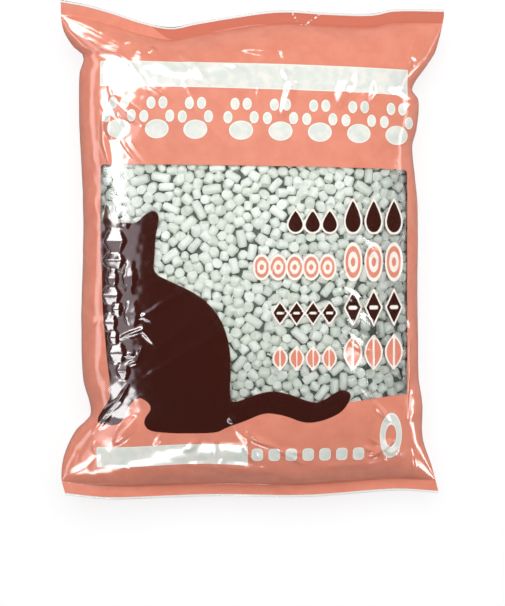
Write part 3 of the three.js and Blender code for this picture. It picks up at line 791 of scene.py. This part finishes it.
cloud_mesh = bpy.data.meshes.new("pellet_places")
cloud_mesh.from_pydata((centre * MM).tolist(), [], [])
for name, kind, values in (("turn", "FLOAT_VECTOR", turn_to(direction)),
                           ("size", "FLOAT_VECTOR", np.stack([width, width * oval, length], 1) * MM),
                           ("tone", "FLOAT", tone)):
    attribute = cloud_mesh.attributes.new(name, kind, "POINT")
    attribute.data.foreach_set("value" if kind == "FLOAT" else "vector",
                               values.astype(np.float32).ravel())
cloud = bpy.data.objects.new("pellet_places", cloud_mesh)
bpy.context.scene.collection.objects.link(cloud)


def pellet_tree(material):
    """Puts a barrel with rounded ends on every point."""
    group = bpy.data.node_groups.new("pellet_heap", "GeometryNodeTree")
    group.interface.new_socket("Geometry", in_out="INPUT", socket_type="NodeSocketGeometry")
    sides_in = group.interface.new_socket("Sides", in_out="INPUT", socket_type="NodeSocketInt")
    pinch_in = group.interface.new_socket("End Pinch", in_out="INPUT", socket_type="NodeSocketFloat")
    group.interface.new_socket("Geometry", in_out="OUTPUT", socket_type="NodeSocketGeometry")
    start = add_node(group, "NodeGroupInput")
    barrel = add_node(group, "GeometryNodeMeshCylinder", {}, {
        "Vertices": start.outputs["Sides"], "Side Segments": 3, "Radius": 0.5, "Depth": 1.0})
    position = add_node(group, "GeometryNodeInputPosition")
    parts = add_node(group, "ShaderNodeSeparateXYZ", {}, {"Vector": position.outputs["Position"]})
    height = add_node(group, "ShaderNodeMath", {"operation": "ABSOLUTE"}, {0: parts.outputs["Z"]})
    at_end = add_node(group, "ShaderNodeMapRange", {}, {
        "Value": height.outputs["Value"], "From Min": 0.2, "From Max": 0.45, "To Min": 1.0,
        "To Max": start.outputs["End Pinch"]})
    drawn_out = add_node(group, "ShaderNodeMapRange", {}, {
        "Value": height.outputs["Value"], "From Min": 0.2, "From Max": 0.45, "To Min": 2.1,
        "To Max": 1.0})
    stretch = add_node(group, "ShaderNodeCombineXYZ", {}, {
        "X": at_end.outputs["Result"], "Y": at_end.outputs["Result"],
        "Z": drawn_out.outputs["Result"]})
    reach = add_node(group, "ShaderNodeVectorMath", {"operation": "MULTIPLY"}, {
        0: position.outputs["Position"], 1: stretch.outputs["Vector"]})
    pinched = add_node(group, "GeometryNodeSetPosition", {}, {
        "Geometry": barrel.outputs["Mesh"], "Position": reach.outputs["Vector"]})
    smooth = add_node(group, "GeometryNodeSetShadeSmooth", {}, {
        "Geometry": pinched.outputs["Geometry"], "Selection": barrel.outputs["Side"]})
    turn = add_node(group, "GeometryNodeInputNamedAttribute", {"data_type": "FLOAT_VECTOR"},
                    {"Name": "turn"})
    size = add_node(group, "GeometryNodeInputNamedAttribute", {"data_type": "FLOAT_VECTOR"},
                    {"Name": "size"})
    rotation = add_node(group, "FunctionNodeEulerToRotation", {}, {
        "Euler": turn.outputs["Attribute"]})
    copies = add_node(group, "GeometryNodeInstanceOnPoints", {}, {
        "Points": start.outputs["Geometry"], "Instance": smooth.outputs["Geometry"],
        "Rotation": rotation.outputs["Rotation"], "Scale": size.outputs["Attribute"]})
    real = add_node(group, "GeometryNodeRealizeInstances", {}, {
        "Geometry": copies.outputs["Instances"]})
    dressed = add_node(group, "GeometryNodeSetMaterial", {}, {
        "Geometry": real.outputs["Geometry"], "Material": material})
    end = add_node(group, "NodeGroupOutput")
    group.links.new(dressed.outputs["Geometry"], end.inputs["Geometry"])
    return group, {"Sides": sides_in, "End Pinch": pinch_in}


def grown(source, name, group, sockets, values):
    """Runs a node tree on an object and returns the result as a plain mesh object."""
    modifier = source.modifiers.new(name, "NODES")
    modifier.node_group = group
    for key, value in values.items():
        modifier[sockets[key].identifier] = value
    graph = bpy.context.evaluated_depsgraph_get()
    graph.update()
    mesh = bpy.data.meshes.new_from_object(source.evaluated_get(graph), depsgraph=graph)
    source.modifiers.remove(modifier)
    bpy.data.objects.remove(source)
    mesh.name = name
    piece = bpy.data.objects.new(name, mesh)
    bpy.context.scene.collection.objects.link(piece)
    return piece


# %% [markdown]
# ## Pressed paper
# Recycled paper pulp pressed into sticks: matt, slightly fibrous, off-white with a green tinge, and
# each pellet a little lighter or darker than the next.

# %% Material of the pellets
paper_material, tree, output = new_material("pressed_paper_pulp")
tone_of = add_node(tree, "ShaderNodeAttribute", {"attribute_name": "tone"})
paper = add_node(tree, "ShaderNodeMix", {"data_type": "RGBA"}, {"Factor": tone_of.outputs["Fac"]})
paper.inputs[6].default_value = linear("#DFE4DC")
paper.inputs[7].default_value = linear("#F2F5F1")
place = add_node(tree, "ShaderNodeTexCoord")
pulp = add_node(tree, "ShaderNodeTexNoise", {}, {
    "Vector": place.outputs["Object"], "Scale": 900.0, "Detail": 4.0, "Roughness": 0.6})
flecks = add_node(tree, "ShaderNodeMapRange", {}, {
    "Value": pulp.outputs["Fac"], "From Min": 0.58, "From Max": 0.72, "To Max": 0.35})
speckled = add_node(tree, "ShaderNodeMix", {"data_type": "RGBA"}, {
    "Factor": flecks.outputs["Result"]})
tree.links.new(paper.outputs[2], speckled.inputs[6])
speckled.inputs[7].default_value = linear("#C3CCC2")
grain = add_node(tree, "ShaderNodeBump", {}, {
    "Height": pulp.outputs["Fac"], "Strength": 0.5, "Distance": 0.0004})
body = add_node(tree, "ShaderNodeBsdfPrincipled", {}, {
    "Base Color": speckled.outputs[2], "Roughness": 0.9, "Specular IOR Level": 0.3,
    "Normal": grain.outputs["Normal"]})
tree.links.new(body.outputs["BSDF"], output.inputs["Surface"])

# %% Grow the loose pellets
pellet_group, pellet_sockets = pellet_tree(paper_material)
pellets = grown(cloud, "paper_pellets", pellet_group, pellet_sockets, {"Sides": 9, "End Pinch": 0.78})
print("pellet faces:", len(pellets.data.polygons))

# %% [markdown]
# ## The rest of the litter
# Where the print hides the pellets, also under the cat, the litter is a plain heap that fills the
# bag. It is sunk under the clear part of the window to make room for the loose ones. Its colour is
# painted shade: a dark grey-green, darker than the pellets, for the shade deep between them.

# %% The heap
heap_a, heap_v = np.meshgrid(np.linspace(-0.85, 0.85, 61), np.linspace(-0.87, 0.84, 81), indexing="ij")
heap_front = skin(heap_a, heap_v, 1)
heap_x, heap_y = heap_front[..., 0], heap_front[..., 1]
HEAP_GAP, BASE_GAP, HEAP_SLACK, BED_DEPTH = 1.5, 0.5, 4, 6
slack = HEAP_SLACK * (heap_a ** 4 + heap_v ** 4)
bed = smoothstep(depth_in_bar(heap_x, heap_y, *WINDOW), -16, -8)
bed *= 1 - smoothstep(depth_in_outline(heap_x, heap_y, CAT), 6, 13)
sink = HEAP_GAP + slack + BED_DEPTH * bed
heap_top = heap_front - outward(heap_a, heap_v, 1) * sink[..., None]
heap_base = skin(heap_a, heap_v, -1)
heap_base -= outward(heap_a, heap_v, -1) * (BASE_GAP + slack)[..., None]
middle = skin(heap_a, heap_v, 0)
for edge in (np.s_[0, :], np.s_[-1, :], np.s_[:, 0], np.s_[:, -1]):
    heap_top[edge] = middle[edge]
    heap_base[edge] = middle[edge]
heap_index = np.arange(heap_a.size).reshape(heap_a.shape)
low_index = heap_index + heap_a.size
for edge in (np.s_[0, :], np.s_[-1, :], np.s_[:, 0], np.s_[:, -1]):
    low_index[edge] = heap_index[edge]
heap_faces = grid_faces(heap_index, False) + grid_faces(low_index, True)
heap_points = np.concatenate([heap_top.reshape(-1, 3), heap_base.reshape(-1, 3)])
shaded_material, tree, output = new_material("pressed_paper_pulp_in_shade")
# Painted shade: the heap's dark colour stands for the shade deep between the pellets.
body = add_node(tree, "ShaderNodeBsdfPrincipled", {}, {
    "Base Color": linear("#646E66"), "Roughness": 0.95, "Specular IOR Level": 0.1})
tree.links.new(body.outputs["BSDF"], output.inputs["Surface"])
heap = mesh_piece("litter_heap", heap_points, heap_faces, shaded_material)

# %% [markdown]
# ## Hide the imported parts that the new pieces stand for
# Nothing moves, so every piece rides on the one body. The film is a full, soft pack.

# %% Ride on the body and hide the imported parts
for piece in (film, pellets, heap):
    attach(piece, "root")
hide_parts("film_bag")
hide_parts("litter_pellets")
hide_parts("litter_pellets")

# %% [markdown]
# ## Floor, light and camera
# A white floor and a white sky give the plain ground of a catalogue picture. One large lamp overhead
# and a dimmer one on the right light everything softly. The others only show as reflections in the
# film: small bright ones on both sides draw the white blades on the creases, and two dim wide ones on
# the left lay a veil over that shoulder. The camera looks straight down.

# %% Floor
# The floor is a little brighter to the camera than its light makes it, and dim in reflections,
# so that the steep sides of the bag keep their colour.
FLOOR_TO_CAMERA, FLOOR_UNMIRRORED = 0.8, 0.75
floor_material, tree, output = new_material("white_paper_floor")
paint = add_node(tree, "ShaderNodeBsdfPrincipled", {}, {
    "Base Color": linear("#FBFBFB"), "Roughness": 0.8, "Specular IOR Level": 0.1})
glow = add_node(tree, "ShaderNodeEmission", {}, {"Strength": 1.0})
ray = add_node(tree, "ShaderNodeLightPath")
share = add_node(tree, "ShaderNodeMath", {"operation": "MULTIPLY"}, {
    0: ray.outputs["Is Camera Ray"], 1: FLOOR_TO_CAMERA})
bright = add_node(tree, "ShaderNodeMixShader", {}, {
    0: share.outputs["Value"], 1: paint.outputs["BSDF"], 2: glow.outputs["Emission"]})
mirror_share = add_node(tree, "ShaderNodeMath", {"operation": "MULTIPLY"}, {
    0: ray.outputs["Is Glossy Ray"], 1: FLOOR_UNMIRRORED})
unlit = add_node(tree, "ShaderNodeEmission", {}, {"Strength": 0.0})
faint = add_node(tree, "ShaderNodeMixShader", {}, {
    0: mirror_share.outputs["Value"], 1: bright.outputs["Shader"], 2: unlit.outputs["Emission"]})
tree.links.new(faint.outputs["Shader"], output.inputs["Surface"])
FLOOR_REACH, FLOOR_DROP = 4000.0, 0.3
floor_corners = np.array([(-1, -1, 0), (1, -1, 0), (1, 1, 0), (-1, 1, 0)]) * FLOOR_REACH
floor = mesh_piece("floor", floor_corners - (0, 0, FLOOR_DROP), [(0, 1, 2, 3)], floor_material)

# %% World and lamps
ROOM_LIGHT, ROOM_MIRRORED = 0.28, 0.08
world = bpy.data.worlds.new("pale_room")
bpy.context.scene.world = world
world.use_nodes = True
world.node_tree.nodes["Background"].inputs["Color"].default_value = (1, 1, 1, 1)
tree = world.node_tree
ray = add_node(tree, "ShaderNodeLightPath")
glow = add_node(tree, "ShaderNodeMapRange", {}, {
    "Value": ray.outputs["Is Glossy Ray"], "To Min": ROOM_LIGHT, "To Max": ROOM_MIRRORED})
tree.links.new(glow.outputs["Result"], tree.nodes["Background"].inputs["Strength"])


def add_lamp(name, place, size, radiance, colour=(1, 1, 1), mirrored=True, lights=True):
    """A rectangular lamp facing the bag, placed in metres, with a set brightness of its face."""
    lamp = bpy.data.lights.new(name, "AREA")
    lamp.shape = "RECTANGLE"
    lamp.size, lamp.size_y = size
    lamp.energy = radiance * math.pi * size[0] * size[1]
    lamp.color = colour
    stand = bpy.data.objects.new(name, lamp)
    stand.location = place
    stand.rotation_euler = (Vector((0, 0, 0.05)) - Vector(place)).to_track_quat("-Z", "Y").to_euler()
    stand.visible_glossy = mirrored
    stand.visible_diffuse = lights
    bpy.context.scene.collection.objects.link(stand)


add_lamp("left_strip", (-0.82, 0.42, 0.74), (0.78, 0.25), 18, lights=False)
add_lamp("far_left_strip", (-0.52, 0.98, 0.62), (0.7, 0.15), 16, lights=False)
add_lamp("near_left_strip", (-0.82, -0.55, 0.64), (0.26, 0.30), 15, lights=False)
add_lamp("top_strip", (-0.59, 0.76, 0.80), (0.50, 0.26), 16, lights=False)
add_lamp("left_panel", (-0.95, 0.10, 0.90), (2.2, 0.45), 2.8, (0.95, 0.92, 1.0), lights=False)
add_lamp("low_left_panel", (-1.24, 0.10, 0.38), (2.6, 0.24), 4.0, (1.0, 0.95, 1.0), lights=False)
add_lamp("far_right_strip", (1.07, 0.73, 0.22), (0.7, 0.40), 20, lights=False)
add_lamp("front_right_strip", (0.80, -0.96, 0.33), (0.36, 0.18), 16, lights=False)
add_lamp("right_strip", (0.95, 0.0, 0.20), (0.9, 0.10), 5, lights=False)
add_lamp("near_right_strip", (0.90, -0.30, 0.10), (0.35, 0.10), 16, lights=False)
add_lamp("right_spot", (0.62, -0.25, 1.00), (0.22, 0.07), 18, lights=False)
add_lamp("front_strip", (-0.42, -0.95, 0.60), (0.8, 0.15), 16, lights=False)
add_lamp("overhead_fill", (-0.10, 0.58, 1.85), (1.6, 1.6), 4.8, mirrored=False)
add_lamp("right_fill", (1.2, 0.1, 1.1), (0.9, 0.9), 1.5, mirrored=False)

# %% Camera
FRAME_HEIGHT, PIXELS_BELOW_BAG = 606, 53
MM_PER_PIXEL = 0.907
CAMERA_HEIGHT = 1500.0
SENSOR = 36.0
camera_data = bpy.data.cameras.new("camera")
camera_data.sensor_width = SENSOR
camera_data.lens = SENSOR * CAMERA_HEIGHT / (FRAME_HEIGHT * MM_PER_PIXEL)
camera_data.shift_y = -PIXELS_BELOW_BAG / FRAME_HEIGHT
camera_data.clip_end = 20
camera = bpy.data.objects.new("camera", camera_data)
camera.location = (0, 0, (CAMERA_HEIGHT + FOLD_HEIGHT) * MM)
bpy.context.scene.collection.objects.link(camera)
bpy.context.scene.camera = camera
bpy.context.scene.view_settings.view_transform = "Standard"
